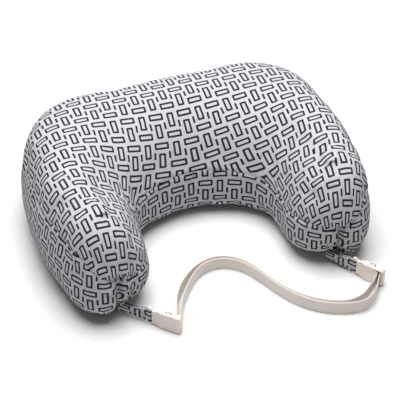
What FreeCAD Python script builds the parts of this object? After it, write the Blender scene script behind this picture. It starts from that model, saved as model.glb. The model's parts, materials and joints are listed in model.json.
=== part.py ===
"""U-shaped nursing pillow with a zipped printed cover, an inner lining bag and fibre filling.

Two side-release buckles on fabric tabs hold a waist belt of doubled webbing across the arm tips.
Frame: millimetres, +Z up, arms towards -Y, origin on the resting plane under the back section.
Each piece is written to parts/NAME.step.
"""

import FreeCAD, Part  # noqa: E401

import math
import os

V = FreeCAD.Vector
UP = V(0, 0, 1)

# ---- pillow form ----
BACK_Y = 95.0  # flat outer wall of the back section
HEIGHT = 190.0
TOP_ROUND = 60.0  # radius of the upper shoulder
BASE_ROUND = 42.0  # radius of the lower shoulder
# right half of the plan outline, back to bay: x, y and rounding radius of each corner
HALF_OUTLINE = [
    (259.0, BACK_Y, 135.0),
    (285.0, -145.0, 500.0),
    (249.0, -347.0, 66.0),
    (122.0, -298.0, 74.0),
    (118.0, -144.0, 66.0),
]
BAY_MIDDLE = (0.0, -99.0, 150.0)

# ---- cloth layers, drawn inwards from the outside ----
COVER_THICKNESS = 1.2
LINING_INSET = 1.5
LINING_THICKNESS = 0.8
FILLING_INSET = 2.6
SEAM_TOP_Z = 112.0  # side band to top panel
SEAM_BASE_Z = 20.0  # side band to bottom panel
# line along the right arm that parts the inner side band from the outer one, tip to back
BAND_SPLIT = [(186.0, -400.0), (198.0, -200.0), (150.0, 0.0)]

# ---- zip in the back wall ----
ZIP_Z = 60.0
ZIP_HALF_LENGTH = 125.0
ZIP_SLOT_HALF_HEIGHT = 6.0
ZIP_SLOT_HALF_LENGTH = 136.0
TAPE_THICKNESS = 0.6
TAPE_HALF_HEIGHT = 15.0
COIL_RADIUS = 0.75
COIL_CENTRE_Z = 0.85  # each coil's centre above or below the zip's middle
SLIDER_LENGTH = 9.0
SLIDER_HEIGHT = 8.4
SLIDER_PLATE = 1.0
SLIDER_HALF_GAP = 1.25  # half the space between the slider's two plates
SLIDER_OVERRUN = 2.6  # how far the closed slider reaches past the coils
SLIDER_POST_LENGTH = 2.2
SLIDER_POST_HALF_HEIGHT = 1.2
SLIDER_CORNER = 1.8
BRIDGE_HALF_GAP = 2.9  # between the two cheeks that hold the pin
BRIDGE_THICKNESS = 1.0
BRIDGE_HALF_HEIGHT = 1.4
BRIDGE_PAST_PIN = 0.9
PIN_OUT = 1.3  # pin's axis above the slider's front plate
PIN_RADIUS = 0.5
PIN_LENGTH = 7.0
PIN_HOLE_RADIUS = 0.56
KNUCKLE_RADIUS = 1.25
PULL_LENGTH = 22.0
PULL_WIDTH = 5.0
PULL_THICKNESS = 1.3
PULL_CORNER = 2.0
PULL_EYE_RADIUS = 1.2
PULL_EYE_UP = 4.5  # eye's centre above the pull's lower end
STOP_LENGTH = 2.4
STOP_THICKNESS = 0.9
STOP_HALF_HEIGHT = 1.2
STOP_MIDDLE_Z = 2.9  # each top stop's middle above or below the zip's middle
BOTTOM_STOP_HALF_HEIGHT = 3.4
ZIP_POCKET_DEPTH = 7.0
ZIP_POCKET_HALF_HEIGHT = 18.0

# ---- side-release buckles: local x runs from plug to socket, y is thickness, z is width ----
BUCKLE_LENGTH = 58.0
BUCKLE_WIDTH = 34.0
BUCKLE_THICKNESS = 11.0
BUCKLE_FLOOR_GAP = 0.3
BUCKLES = {  # x and y of the plug's outer end, and the turn of the buckle's length about Z
    "left": (-148.5, -327.5, -45.0),
    "right": (209.5, -331.0, -54.1),
}
BELT_SIDE = {"left": 1, "right": -1}  # the belt leaves each socket towards local +Y or -Y
BUCKLE_MID_Z = BUCKLE_FLOOR_GAP + BUCKLE_WIDTH / 2
PLUG_SHOULDER_X = 20.0  # where the plug meets the socket's mouth
PRONG_TIP_X = 40.0
SOCKET_CAVITY_END_X = 43.0
WALL = 1.9
FIT = 0.35  # clearance between plug and socket
LADDER_BAR_X = 50.0  # bar that the webbing goes round
LADDER_BAR_RADIUS = 1.5
PRONG_ROOT_X = 22.0
PRONG_ROOT_HALF_Z = 10.4
PRONG_ROOT_RADIUS = 2.0
PRONG_HALF_Y = 2.6
CROSSBAR_X = 2.4
CHEEK_LENGTH = 12.0
CHEEK_HALF_WIDTH = 1.8
SHOULDER_START_X = 6.5
SHOULDER_HALF_Y = 3.1
SHOULDER_HALF_Z = 15.2
TONGUE_HALF_Y = 1.9
TONGUE_HALF_Z = 3.4
NECK_SCOOP = (10.4, 18.8, 5.4)  # x, z from the middle, and radius
WINDOW_BACK = 10.0  # the socket's side windows, from the prongs' tips
WINDOW_AHEAD = 1.0
WINDOW_HALF_Y = 3.2
WINDOW_DEPTH = 4.0
SOCKET_ROUND = 2.4
SOCKET_CORNER = 5.5  # the two far corners of the socket, seen from its front
LADDER_WALL = 1.5  # the slots are open on the belt's side only
SLOT_WIDTH = 2.7  # room for the webbing on each side of the ladder bar
SLOT_SPARE = 1.6  # slot longer than the webbing is wide, at each end

# ---- webbing and tabs ----
WEBBING_WIDTH = 25.0
WEBBING_THICKNESS = 1.8
WEBBING_SPREAD = 2.7  # each layer's middle from the belt's centre line
WEBBING_LOW_Z = 3.6
TAB_WIDTH = 25.0
TAB_THICKNESS = 1.3
TAB_BAR_RADIUS = 1.7
TAB_REACH = 62.0
ROUTE_TRIM = 0.45  # share of the shorter run that each corner's arc takes up

# route of the belt's centre line in plan, from the left socket's back to the right socket's front
BELT_ROUTE = [
    (-109.2, -359.0),
    (-101.0, -341.0),
    (-91.5, -315.0),
    (-76.0, -290.0),
    (-54.0, -264.0),
    (-26.0, -244.5),
    (9.0, -243.0),
    (38.0, -264.0),
    (56.0, -299.0),
    (71.0, -336.0),
    (90.0, -369.0),
    (119.0, -397.5),
    (155.0, -416.0),
    (190.0, -418.0),
    (213.0, -401.0),
    (234.0, -374.5),
]


def rounded_points(corners):
    """(start, middle, end) of the tangent arc at each (point, previous, next, radius) corner."""
    arcs = []
    for point, before, after, radius in corners:
        to_before = (before - point).normalize()
        to_after = (after - point).normalize()
        half = to_before.getAngle(to_after) / 2
        back = radius / math.tan(half)
        centre = point + (to_before + to_after).normalize() * (radius / math.sin(half))
        middle = centre + (point - centre).normalize() * radius
        arcs.append((point + to_before * back, middle, point + to_after * back))
    return arcs


def closed_outline(corners):
    """Closed wire of straight runs joined by tangent arcs, through (x, y, radius) corners."""
    points = [V(x, y, 0) for x, y, _ in corners]
    count = len(points)
    arcs = rounded_points(
        [
            (points[i], points[i - 1], points[(i + 1) % count], corners[i][2])
            for i in range(count)
        ]
    )
    edges = []
    for arc, following in zip(arcs, arcs[1:] + arcs[:1]):
        edges.append(Part.Arc(*arc).toShape())
        if arc[2].distanceToPoint(following[0]) > 1e-6:
            edges.append(Part.LineSegment(arc[2], following[0]).toShape())
    return Part.Wire(edges)


def pillow_outline():
    """Plan outline of the whole pillow at its widest level."""
    mirrored = [(-x, y, r) for x, y, r in reversed(HALF_OUTLINE)]
    return closed_outline(HALF_OUTLINE + [BAY_MIDDLE] + mirrored)


def pillow_form(inset):
    """The pillow's outer form, drawn inwards by inset on every side."""
    wire = pillow_outline()
    if inset:
        wire = wire.makeOffset2D(-inset)
    form = Part.Face(wire).extrude(UP * (HEIGHT - 2 * inset))
    form.translate(UP * inset)
    low = [e for e in form.Edges if e.BoundBox.ZMax < inset + 0.01]
    form = form.makeFillet(BASE_ROUND - inset, low)
    high = [e for e in form.Edges if e.BoundBox.ZMin > HEIGHT - inset - 0.01]
    return form.makeFillet(TOP_ROUND - inset, high)


def box(x0, x1, y0, y1, z0, z1):
    return Part.makeBox(x1 - x0, y1 - y0, z1 - z0, V(x0, y0, z0))


def slab(z0, z1):
    """A plate wider than the pillow between two heights."""
    return box(-400, 400, -500, 200, z0, z1)


def largest(shape):
    return max(shape.Solids, key=lambda s: s.Volume)


def zip_pocket(grow):
    """Space behind the zip, which the lining and the filling dip in around."""
    return box(
        -ZIP_SLOT_HALF_LENGTH - grow,
        ZIP_SLOT_HALF_LENGTH + grow,
        BACK_Y - ZIP_POCKET_DEPTH - grow,
        BACK_Y + 5,
        ZIP_Z - ZIP_POCKET_HALF_HEIGHT - grow,
        ZIP_Z + ZIP_POCKET_HALF_HEIGHT + grow,
    )


def inner_side():
    """Prism over the bay side of the arms: it parts the inner side band from the outer one."""
    right = [V(x, y, 0) for x, y in BAND_SPLIT]
    left = [V(-x, y, 0) for x, y in reversed(BAND_SPLIT)]
    points = right + left
    wire = Part.makePolygon(points + points[:1])
    prism = Part.Face(wire).extrude(UP * (HEIGHT + 20))
    prism.translate(UP * -10)
    return prism


def make_cover(parts):
    """Four printed panels that meet edge to edge at their seams."""
    shell = pillow_form(0).cut(pillow_form(COVER_THICKNESS))
    parts["cover_top_panel"] = shell.common(slab(SEAM_TOP_Z, HEIGHT + 10))
    parts["cover_bottom_panel"] = shell.common(slab(-10, SEAM_BASE_Z))
    band = shell.common(slab(SEAM_BASE_Z, SEAM_TOP_Z))
    parts["cover_inner_gusset"] = band.common(inner_side())
    zip_slot = box(
        -ZIP_SLOT_HALF_LENGTH,
        ZIP_SLOT_HALF_LENGTH,
        BACK_Y - 5,
        BACK_Y + 5,
        ZIP_Z - ZIP_SLOT_HALF_HEIGHT,
        ZIP_Z + ZIP_SLOT_HALF_HEIGHT,
    )
    parts["cover_outer_gusset"] = band.cut(inner_side()).cut(zip_slot)


def make_stuffing(parts):
    """Lining bag and fibre filling, both dipped in behind the zip."""
    bag_outside = pillow_form(LINING_INSET).cut(zip_pocket(0))
    bag_inside = pillow_form(LINING_INSET + LINING_THICKNESS).cut(
        zip_pocket(LINING_THICKNESS)
    )
    parts["inner_lining"] = bag_outside.cut(bag_inside)
    parts["fibre_filling"] = pillow_form(FILLING_INSET).cut(
        zip_pocket(FILLING_INSET - LINING_INSET)
    )


def make_zip(parts):
    """Two tapes with coils, a slider that carries a hanging pull, and the stops at both ends."""
    inside = BACK_Y - COVER_THICKNESS
    coil_y = inside - TAPE_THICKNESS / 2
    edge = COIL_CENTRE_Z + COIL_RADIUS
    for name, side in (("upper", 1), ("lower", -1)):
        low, high = sorted((side * edge, side * TAPE_HALF_HEIGHT))
        parts[f"zip_tape_{name}"] = box(
            -ZIP_SLOT_HALF_LENGTH,
            ZIP_SLOT_HALF_LENGTH,
            inside - TAPE_THICKNESS,
            inside,
            ZIP_Z + low,
            ZIP_Z + high,
        )
        parts[f"zip_coil_{name}"] = Part.makeCylinder(
            COIL_RADIUS,
            2 * ZIP_HALF_LENGTH,
            V(-ZIP_HALF_LENGTH, coil_y, ZIP_Z + side * COIL_CENTRE_Z),
            V(1, 0, 0),
        )
    pin = make_slider(parts, coil_y)
    make_pull(parts, pin)
    parts["zip_end_stops"] = end_stops(inside)


def make_slider(parts, coil_y):
    """The slider at the closed end: two plates on a post, and a bridge with the pull's pin."""
    end = ZIP_HALF_LENGTH + SLIDER_OVERRUN
    start = end - SLIDER_LENGTH
    front = coil_y + SLIDER_HALF_GAP
    back = coil_y - SLIDER_HALF_GAP
    low, high = ZIP_Z - SLIDER_HEIGHT / 2, ZIP_Z + SLIDER_HEIGHT / 2
    plates = [
        box(start, end, front, front + SLIDER_PLATE, low, high),
        box(start, end, back - SLIDER_PLATE, back, low, high),
    ]
    plates = [p.makeFillet(SLIDER_CORNER, edges_along(p, V(0, 1, 0), 0.5)) for p in plates]
    post = box(
        end - SLIDER_POST_LENGTH,
        end,
        back,
        front,
        ZIP_Z - SLIDER_POST_HALF_HEIGHT,
        ZIP_Z + SLIDER_POST_HALF_HEIGHT,
    )
    pin = V((start + end) / 2, front + SLIDER_PLATE + PIN_OUT, ZIP_Z)
    bridge = [Part.makeCylinder(PIN_RADIUS, PIN_LENGTH, pin - V(PIN_LENGTH / 2, 0, 0), V(1, 0, 0))]
    for side in (1, -1):
        near, far = sorted((side * BRIDGE_HALF_GAP, side * (BRIDGE_HALF_GAP + BRIDGE_THICKNESS)))
        bridge.append(
            box(
                pin.x + near,
                pin.x + far,
                front + SLIDER_PLATE / 2,
                pin.y + BRIDGE_PAST_PIN,
                ZIP_Z - BRIDGE_HALF_HEIGHT,
                ZIP_Z + BRIDGE_HALF_HEIGHT,
            )
        )
    parts["zip_slider"] = plates[0].multiFuse([plates[1], post] + bridge).removeSplitter()
    return pin


def make_pull(parts, pin):
    """The pull hangs from the slider's pin: a knuckle, a blade and an eye for a cord."""
    half = PULL_WIDTH / 2
    knuckle = Part.makeCylinder(KNUCKLE_RADIUS, PULL_WIDTH, pin - V(half, 0, 0), V(1, 0, 0))
    blade = box(
        pin.x - half,
        pin.x + half,
        pin.y - PULL_THICKNESS / 2,
        pin.y + PULL_THICKNESS / 2,
        ZIP_Z - PULL_LENGTH,
        ZIP_Z,
    )
    ends = [e for e in blade.Edges if e.BoundBox.ZMax < ZIP_Z - 1 and e.BoundBox.YLength > 0.5]
    blade = blade.makeFillet(PULL_CORNER, ends)
    eye_z = ZIP_Z - PULL_LENGTH + PULL_EYE_UP
    eye = Part.makeCylinder(PULL_EYE_RADIUS, 4, V(pin.x, pin.y - 2, eye_z), V(0, 1, 0))
    hole = Part.makeCylinder(PIN_HOLE_RADIUS, 2 * PULL_WIDTH, pin - V(PULL_WIDTH, 0, 0), V(1, 0, 0))
    parts["zip_pull"] = knuckle.fuse(blade).cut(eye).cut(hole).removeSplitter()


def end_stops(inside):
    """Two stops beside the closed slider and one across the far ends of the coils."""
    outside = inside + STOP_THICKNESS
    top_x = ZIP_HALF_LENGTH + SLIDER_OVERRUN + 0.6
    bottom_x = -ZIP_HALF_LENGTH - 0.2
    stops = []
    for side in (1, -1):
        middle = ZIP_Z + side * STOP_MIDDLE_Z
        low, high = middle - STOP_HALF_HEIGHT, middle + STOP_HALF_HEIGHT
        stops.append(box(top_x, top_x + STOP_LENGTH, inside, outside, low, high))
    low, high = ZIP_Z - BOTTOM_STOP_HALF_HEIGHT, ZIP_Z + BOTTOM_STOP_HALF_HEIGHT
    stops.append(box(bottom_x - STOP_LENGTH, bottom_x, inside, outside, low, high))
    return Part.makeCompound(stops)


def placed(shape, side):
    """A shape drawn in the buckle's own frame, moved to the left or right buckle."""
    x, y, turn = BUCKLES[side]
    moved = shape.copy()
    moved.rotate(V(0, 0, 0), UP, turn)
    moved.translate(V(x, y, 0))
    return moved


def across(x0, x1, half_y, half_z):
    """Box on the buckle's centre line."""
    return box(x0, x1, -half_y, half_y, BUCKLE_MID_Z - half_z, BUCKLE_MID_Z + half_z)


def edges_along(shape, direction, minimum=1.0):
    """Straight edges that run along a direction."""
    found = []
    for edge in shape.Edges:
        if not isinstance(edge.Curve, (Part.Line, Part.LineSegment)):
            continue
        way = edge.Vertexes[-1].Point - edge.Vertexes[0].Point
        if way.Length > minimum and abs(way.normalize().dot(direction)) > 0.999:
            found.append(edge)
    return found


def plug_body():
    """Plug: crossbar with flared ends for the tab, neck, shoulder and centre tongue."""
    bar_z = BUCKLE_MID_Z - BUCKLE_WIDTH / 2 + 1.5
    bar = Part.makeCylinder(TAB_BAR_RADIUS, BUCKLE_WIDTH - 3, V(CROSSBAR_X, 0, bar_z), UP)
    block = across(SHOULDER_START_X, PLUG_SHOULDER_X, SHOULDER_HALF_Y, SHOULDER_HALF_Z)
    block = block.makeFillet(1.2, edges_along(block, UP) + edges_along(block, V(0, 1, 0)))
    tongue = across(PLUG_SHOULDER_X - 1, PRONG_TIP_X - 2, TONGUE_HALF_Y, TONGUE_HALF_Z)
    tongue = tongue.makeFillet(1.2, edges_along(tongue, UP)[:2])
    cheeks = []
    for s in (1, -1):
        middle = BUCKLE_MID_Z + s * SHOULDER_HALF_Z
        low, high = middle - CHEEK_HALF_WIDTH, middle + CHEEK_HALF_WIDTH
        cheeks.append(box(0, CHEEK_LENGTH, -PRONG_HALF_Y, PRONG_HALF_Y, low, high))
    body = bar.multiFuse(cheeks + [block, tongue])
    scoop_x, scoop_z, scoop_radius = NECK_SCOOP
    root_radius = PRONG_ROOT_RADIUS + 0.3
    for s in (1, -1):  # each neck side is pinched in behind the flared crossbar
        scoop_at = V(scoop_x, -10, BUCKLE_MID_Z + s * scoop_z)
        root_at = V(PRONG_ROOT_X, -10, BUCKLE_MID_Z + s * PRONG_ROOT_HALF_Z)
        body = body.cut(Part.makeCylinder(scoop_radius, 20, scoop_at, V(0, 1, 0)))
        body = body.cut(Part.makeCylinder(root_radius, 20, root_at, V(0, 1, 0)))
    return body.removeSplitter()


def prong(side):
    """One sprung arm: round root, slim blade and a barb that fills the socket's side window."""
    outline = [  # x, and z from the root's centre
        (PRONG_ROOT_X, -1.6),
        (PRONG_TIP_X - 7, -1.2),
        (PRONG_TIP_X, -2.6),
        (PRONG_TIP_X, 1.6),
        (PRONG_TIP_X - 1.2, 4.2),
        (PRONG_TIP_X - 3.0, 5.6),
        (PRONG_TIP_X - 9.0, 5.9),
        (PRONG_TIP_X - 9.6, 1.8),
        (PRONG_ROOT_X, 1.6),
    ]
    points = [V(x, 0, PRONG_ROOT_HALF_Z + z) for x, z in outline]
    wire = Part.makePolygon(points + points[:1])
    blade = Part.Face(wire).extrude(V(0, 2 * PRONG_HALF_Y, 0))
    blade.translate(V(0, -PRONG_HALF_Y, 0))
    root_at = V(PRONG_ROOT_X, -PRONG_HALF_Y, PRONG_ROOT_HALF_Z)
    root = Part.makeCylinder(PRONG_ROOT_RADIUS, 2 * PRONG_HALF_Y, root_at, V(0, 1, 0))
    arm = blade.fuse(root).removeSplitter()
    arm = arm.makeFillet(0.5, edges_along(arm, V(0, 1, 0), 4.0)[:3])
    if side < 0:
        arm = arm.mirror(V(0, 0, 0), UP)
    arm.translate(V(0, 0, BUCKLE_MID_Z))
    return arm


def socket_body(belt_side):
    """Socket: hollow box with side windows, and two webbing slots, open on the belt's side."""
    half_z = BUCKLE_WIDTH / 2
    half_y = BUCKLE_THICKNESS / 2
    mouth = PLUG_SHOULDER_X + FIT
    shell = across(mouth, BUCKLE_LENGTH, half_y, half_z)
    corners = [e for e in edges_along(shell, V(0, 1, 0)) if e.BoundBox.XMin > BUCKLE_LENGTH - 0.1]
    shell = shell.makeFillet(SOCKET_CORNER, corners)
    shell = shell.makeFillet(SOCKET_ROUND, edges_along(shell, V(1, 0, 0)))
    cavity = across(mouth - 1, SOCKET_CAVITY_END_X, half_y - WALL, half_z - WALL)
    shell = shell.cut(cavity)
    for s in (1, -1):
        edge = BUCKLE_MID_Z + s * half_z
        window = box(
            PRONG_TIP_X - WINDOW_BACK,
            PRONG_TIP_X + WINDOW_AHEAD,
            -WINDOW_HALF_Y,
            WINDOW_HALF_Y,
            edge - WINDOW_DEPTH,
            edge + WINDOW_DEPTH,
        )
        shell = shell.cut(window)
    slot_half_z = WEBBING_WIDTH / 2 + SLOT_SPARE
    slot_far = LADDER_BAR_RADIUS + SLOT_WIDTH
    near_y, far_y = sorted((belt_side * (LADDER_WALL - half_y), belt_side * (half_y + 1)))
    ladder = box(
        LADDER_BAR_X - slot_far,
        LADDER_BAR_X + slot_far,
        near_y,
        far_y,
        BUCKLE_MID_Z - slot_half_z,
        BUCKLE_MID_Z + slot_half_z,
    )
    rod_at = V(LADDER_BAR_X, 0, BUCKLE_MID_Z - slot_half_z - 0.5)
    rod = Part.makeCylinder(LADDER_BAR_RADIUS, 2 * slot_half_z + 1, rod_at, UP)
    return shell.cut(ladder).fuse(rod).removeSplitter()


def strip_between(path, low, high):
    """Closed face between two offsets of a path of ("line", a, b) and ("arc", c, r, a0, a1)."""
    near, far = [], []
    for kind, *data in path:
        for offset, edges in ((low, near), (high, far)):
            if kind == "line":
                a, b = data
                side = UP.cross((b - a).normalize()) * offset
                edges.append(Part.LineSegment(a + side, b + side).toShape())
            else:
                centre, radius, start, end = data
                turn = 1 if end > start else -1
                reach = radius - turn * offset
                points = [
                    centre + V(math.cos(t), math.sin(t), 0) * reach
                    for t in (start, (start + end) / 2, end)
                ]
                edges.append(Part.Arc(*points).toShape())
    starts = [edge.valueAt(edge.FirstParameter) for edge in (near[0], far[0])]
    stops = [edge.valueAt(edge.LastParameter) for edge in (near[-1], far[-1])]
    ends = [Part.LineSegment(*pair).toShape() for pair in (starts, stops)]
    return Part.Face(Part.Wire(Part.__sortEdges__(near + far + ends)))


def belt_path():
    """Straight runs and tangent arcs along the belt's route."""
    points = [V(x, y, 0) for x, y in BELT_ROUTE]
    path, here, length = [], points[0], 0.0
    for i in range(1, len(points) - 1):
        before, point, after = points[i - 1 : i + 2]
        into, out = (point - before), (after - point)
        trim = ROUTE_TRIM * min(into.Length, out.Length)
        into.normalize()
        out.normalize()
        turn = math.atan2(into.cross(out).z, into.dot(out))
        radius = trim / math.tan(abs(turn) / 2)
        start = point - into * trim
        centre = start + UP.cross(into) * math.copysign(radius, turn)
        angle = math.atan2(start.y - centre.y, start.x - centre.x)
        path.append(("line", here, start))
        path.append(("arc", centre, radius, angle, angle + turn))
        length += (start - here).Length + radius * abs(turn)
        here = point + out * trim
    path.append(("line", here, points[-1]))
    length += (points[-1] - here).Length
    print(f"belt centre line {length:.1f} mm")
    return path


def make_belt(parts):
    """Two layers of webbing on edge, and the fold of each end round its socket's ladder bar."""
    path = belt_path()
    thick = WEBBING_THICKNESS / 2
    reach = BUCKLE_THICKNESS / 2 + 1.0
    layers = {"strap_back_layer": WEBBING_SPREAD, "strap_front_layer": -WEBBING_SPREAD}
    for name, middle in layers.items():
        layer = strip_between(path, middle - thick, middle + thick).extrude(UP * WEBBING_WIDTH)
        layer.translate(UP * WEBBING_LOW_Z)
        for side, sign in BELT_SIDE.items():
            near, far = sorted((-sign * 30, sign * reach))
            room = box(PRONG_TIP_X - 2, BUCKLE_LENGTH + 4, near, far, -5, 45)
            layer = layer.cut(placed(room, side))
        parts[name] = largest(layer)
    near_x, far_x = LADDER_BAR_X - WEBBING_SPREAD, LADDER_BAR_X + WEBBING_SPREAD
    for side, sign in BELT_SIDE.items():
        leg = V(0, sign * (reach - 0.3), 0)
        round_bar = [
            ("line", V(near_x, 0, 0) + leg, V(near_x, 0, 0)),
            ("arc", V(LADDER_BAR_X, 0, 0), WEBBING_SPREAD, math.pi, math.pi + sign * math.pi),
            ("line", V(far_x, 0, 0), V(far_x, 0, 0) + leg),
        ]
        fold = strip_between(round_bar, -thick, thick).extrude(UP * WEBBING_WIDTH)
        fold.translate(UP * WEBBING_LOW_Z)
        parts[f"{side}_strap_fold"] = placed(fold, side)


def make_tab(parts, side, pillow):
    """Doubled cloth tab from the arm's end seam, folded round the plug's crossbar."""
    bore = TAB_BAR_RADIUS + 0.2
    ring = Part.makeCylinder(bore + TAB_THICKNESS, TAB_WIDTH, V(CROSSBAR_X, 0, 0), UP)
    strip = box(-TAB_REACH, CROSSBAR_X, -TAB_THICKNESS, TAB_THICKNESS, 0, TAB_WIDTH)
    tab = ring.fuse(strip).cut(Part.makeCylinder(bore, 60, V(CROSSBAR_X, 0, -5), UP))
    tab.translate(UP * (BUCKLE_MID_Z - TAB_WIDTH / 2))
    outside = placed(tab, side).cut(pillow)
    x, y, _ = BUCKLES[side]
    bar = V(x, y, BUCKLE_MID_Z)
    parts[f"{side}_tab"] = min(outside.Solids, key=lambda s: (s.CenterOfMass - bar).Length)


def make_buckles(parts):
    """The same buckle twice: plug, two prongs and socket."""
    pillow = pillow_form(0)
    for side in BUCKLES:
        parts[f"{side}_buckle_plug"] = placed(plug_body(), side)
        parts[f"{side}_prong_upper"] = placed(prong(1), side)
        parts[f"{side}_prong_lower"] = placed(prong(-1), side)
        parts[f"{side}_buckle_socket"] = placed(socket_body(BELT_SIDE[side]), side)
        make_tab(parts, side, pillow)


def build():
    parts = {}
    make_cover(parts)
    make_stuffing(parts)
    make_zip(parts)
    make_buckles(parts)
    make_belt(parts)
    return parts


def main():
    os.makedirs("parts", exist_ok=True)
    for name, shape in build().items():
        count, volume = len(shape.Solids), shape.Volume
        print(f"{name}: {count} solid(s), {volume:.0f} mm3, valid {shape.isValid()}")
        shape.exportStep(f"parts/{name}.step")


main()
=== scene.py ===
"""Nursing pillow with a printed cotton cover, two side-release buckles and a webbing waist belt.

Everything is in metres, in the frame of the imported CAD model: the pillow rests on z = 0, its back
is towards +Y and the two arms reach towards -Y.
"""

import itertools
import json
import math

import bpy
import numpy as np
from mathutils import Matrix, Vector


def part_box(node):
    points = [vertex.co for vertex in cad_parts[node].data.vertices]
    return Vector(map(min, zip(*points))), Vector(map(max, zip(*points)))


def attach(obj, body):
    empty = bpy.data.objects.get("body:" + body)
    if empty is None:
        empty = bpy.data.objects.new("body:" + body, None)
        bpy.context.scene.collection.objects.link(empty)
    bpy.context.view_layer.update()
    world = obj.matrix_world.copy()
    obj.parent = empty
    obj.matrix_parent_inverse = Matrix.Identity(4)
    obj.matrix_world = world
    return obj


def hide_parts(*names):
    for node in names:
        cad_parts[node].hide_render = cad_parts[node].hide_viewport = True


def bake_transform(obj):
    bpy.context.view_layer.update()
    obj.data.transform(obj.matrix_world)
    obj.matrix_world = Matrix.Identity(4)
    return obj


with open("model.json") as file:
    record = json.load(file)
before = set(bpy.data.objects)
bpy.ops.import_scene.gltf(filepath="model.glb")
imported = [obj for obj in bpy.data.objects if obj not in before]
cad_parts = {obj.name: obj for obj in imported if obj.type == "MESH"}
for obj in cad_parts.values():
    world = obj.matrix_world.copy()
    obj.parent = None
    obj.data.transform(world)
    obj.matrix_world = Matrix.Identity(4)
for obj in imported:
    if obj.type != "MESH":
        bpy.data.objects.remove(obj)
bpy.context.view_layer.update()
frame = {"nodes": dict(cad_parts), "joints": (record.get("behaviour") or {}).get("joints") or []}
nodes = frame["nodes"]
joints = {j["name"]: j for j in frame["joints"]}
MM = 0.001


# -------- small tools


def unit(v):
    return v / np.maximum(np.linalg.norm(v, axis=-1, keepdims=True), 1e-12)


def smooth_step(x):
    x = np.clip(x, 0.0, 1.0)
    return x * x * (3 - 2 * x)


def bell(x, width):
    return np.exp(-((x / width) ** 2))


def turned_left(v):
    return np.stack([-v[:, 1], v[:, 0]], axis=1)


def new_object(name, data):
    made = bpy.data.objects.new(name, data)
    bpy.context.scene.collection.objects.link(made)
    return made


def new_mesh(name, points, faces):
    """A mesh object in the scene from points and faces."""
    mesh = bpy.data.meshes.new(name)
    mesh.from_pydata([tuple(map(float, p)) for p in points], [], [tuple(map(int, f)) for f in faces])
    mesh.validate()
    mesh.update()
    mesh.polygons.foreach_set("use_smooth", [True] * len(mesh.polygons))
    return new_object(name, mesh)


def read_all(items, key, width, kind=np.float32):
    found = np.zeros(len(items) * width, kind)
    items.foreach_get(key, found)
    return found.reshape(-1, width)


def coordinates(mesh):
    return read_all(mesh.vertices, "co", 3).astype(float)


def set_coordinates(mesh, co):
    mesh.vertices.foreach_set("co", np.asarray(co, np.float32).ravel())
    mesh.update()


def spline_points(points):
    """Points read from the smooth NURBS line whose control points are given."""
    curve = bpy.data.curves.new("route", "CURVE")
    curve.dimensions = "3D"
    curve.resolution_u = 24
    spline = curve.splines.new("NURBS")
    spline.points.add(len(points) - 1)
    for control, p in zip(spline.points, points):
        control.co = (*p, 1.0)
    spline.order_u = 3
    spline.use_endpoint_u = True
    holder = bpy.data.objects.new("route", curve)
    mesh = bpy.data.meshes.new_from_object(holder)
    line = coordinates(mesh)
    bpy.data.meshes.remove(mesh)
    bpy.data.curves.remove(curve)
    return line


def arc_lengths(line):
    return np.concatenate([[0.0], np.cumsum(np.linalg.norm(np.diff(line, axis=0), axis=1))])


def resampled(line, at):
    """The line's points at the given distances along it."""
    along = arc_lengths(line)
    return np.stack([np.interp(at, along, line[:, k]) for k in range(line.shape[1])], axis=1)


# -------- camera and light

CAMERA_AZIMUTH = math.radians(-19.9)
CAMERA_ELEVATION = math.radians(40.0)
CAMERA_DISTANCE = 2.4644
CAMERA_TARGET = Vector((0.0048, -0.1455, 0.0702))
CAMERA_LENS = 130.5
LIGHT_PLACE, LIGHT_TARGET = (-0.04, 0.0, 2.5), (0.0, -0.15, 0.05)
LIGHT_SIZE, LIGHT_POWER = 2.4, 125.0
SKY_STRENGTH = 0.125
FLOOR_HALF = 8.0
FLOOR_COLOUR = (0.70, 0.70, 0.70, 1)


def make_camera():
    data = bpy.data.cameras.new("camera")
    data.lens = CAMERA_LENS
    data.sensor_width = 36.0
    camera = new_object("camera", data)
    turn, rise = CAMERA_AZIMUTH, CAMERA_ELEVATION
    level = math.cos(rise)
    back = Vector((math.sin(turn) * level, -math.cos(turn) * level, math.sin(rise)))
    camera.location = CAMERA_TARGET + back * CAMERA_DISTANCE
    camera.rotation_euler = back.to_track_quat("Z", "Y").to_euler()
    bpy.context.scene.camera = camera


def make_light():
    data = bpy.data.lights.new("key_light", "AREA")
    data.shape = "DISK"
    data.size = LIGHT_SIZE
    data.energy = LIGHT_POWER
    lamp = new_object("key_light", data)
    lamp.location = LIGHT_PLACE
    to_object = Vector(LIGHT_TARGET) - Vector(LIGHT_PLACE)
    lamp.rotation_euler = to_object.to_track_quat("-Z", "Y").to_euler()


def make_studio():
    corners = ((-1, -1), (1, -1), (1, 1), (-1, 1))
    floor = new_mesh("floor", [(x * FLOOR_HALF, y * FLOOR_HALF, 0) for x, y in corners], [(0, 1, 2, 3)])
    floor.data.materials.append(Shader("studio_floor").set(Base_Color=FLOOR_COLOUR, Roughness=0.9))
    world = bpy.data.worlds.new("studio")
    world.use_nodes = True
    sky = world.node_tree.nodes["Background"]
    sky.inputs["Color"].default_value = (1.0, 1.0, 1.0, 1.0)
    sky.inputs["Strength"].default_value = SKY_STRENGTH
    bpy.context.scene.world = world
    bpy.context.scene.view_settings.view_transform = "Standard"
    make_light()


# -------- materials


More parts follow.
